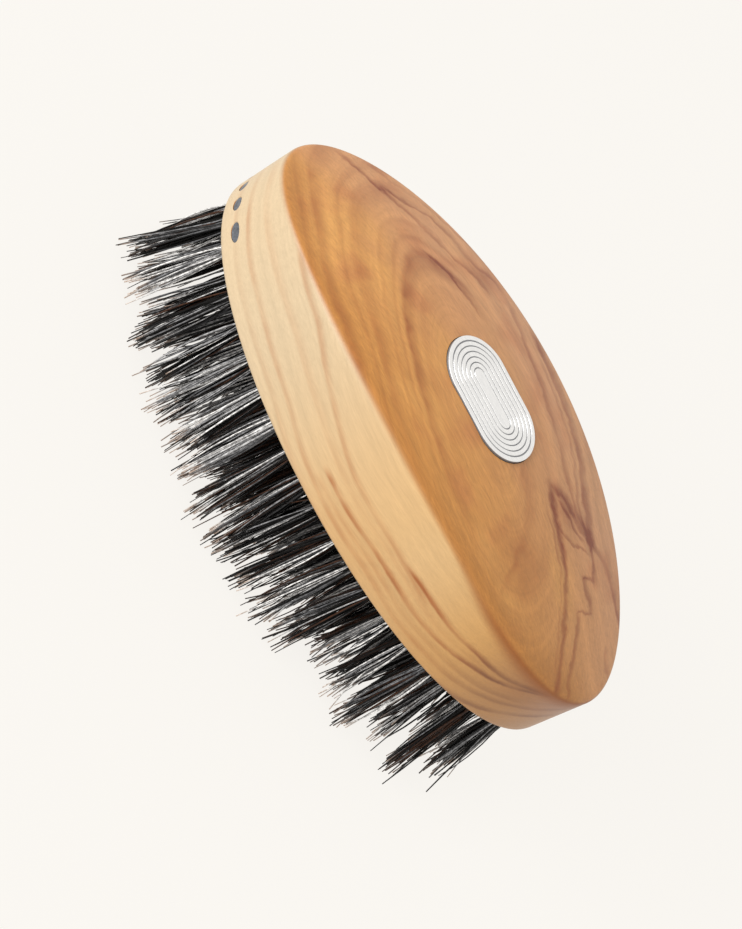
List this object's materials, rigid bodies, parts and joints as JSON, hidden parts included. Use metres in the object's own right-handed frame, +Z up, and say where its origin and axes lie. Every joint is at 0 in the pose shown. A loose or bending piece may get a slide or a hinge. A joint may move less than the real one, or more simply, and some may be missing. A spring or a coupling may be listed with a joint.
{
  "type": "beard brush",
  "caption": "Palm-sized oval beard brush: one-piece olive wood stock with a domed crown, dark bristle tufts drawn on threads, plugged channel mouths and an inlaid metal medallion.",
  "frame": {"origin": "on the surface the brush stands on, at the tips of the bristles, under the middle of the bounding box", "axes": "+X along the length of the stock, from the head end with the plugs to the tail end; +Y across the stock; +Z up, from the bristle tips to the crown"},
  "size_m": [0.1113, 0.0524, 0.0496],
  "materials": {
    "wood": "oiled satin olive wood",
    "medallion": "bright satin plate with engraved rings",
    "adhesive": "cured adhesive",
    "plug": "polished dark horn-like rod, cut flush",
    "thread": "waxed linen thread",
    "bristle": "stiff natural bristle, black with grey and brown hairs"
  },
  "bodies": {
    "root": {"wood_body": "wood", "medallion": "medallion", "medallion_adhesive": "adhesive", "channel_plug_1": "plug", "channel_plug_2": "plug", "channel_plug_3": "plug", "channel_plug_4": "plug", "channel_plug_5": "plug", "channel_plug_6": "plug", "channel_plug_7": "plug", "channel_plug_8": "plug", "drawing_thread_1": "thread", "drawing_thread_2": "thread", "drawing_thread_3": "thread", "drawing_thread_4": "thread", "drawing_thread_5": "thread", "drawing_thread_6": "thread", "drawing_thread_7": "thread", "drawing_thread_8": "thread", "bristle_row_1": "bristle", "bristle_row_2": "bristle", "bristle_row_3": "bristle", "bristle_row_4": "bristle", "bristle_row_5": "bristle", "bristle_row_6": "bristle", "bristle_row_7": "bristle", "bristle_row_8": "bristle"}
  },
  "joints": []
}
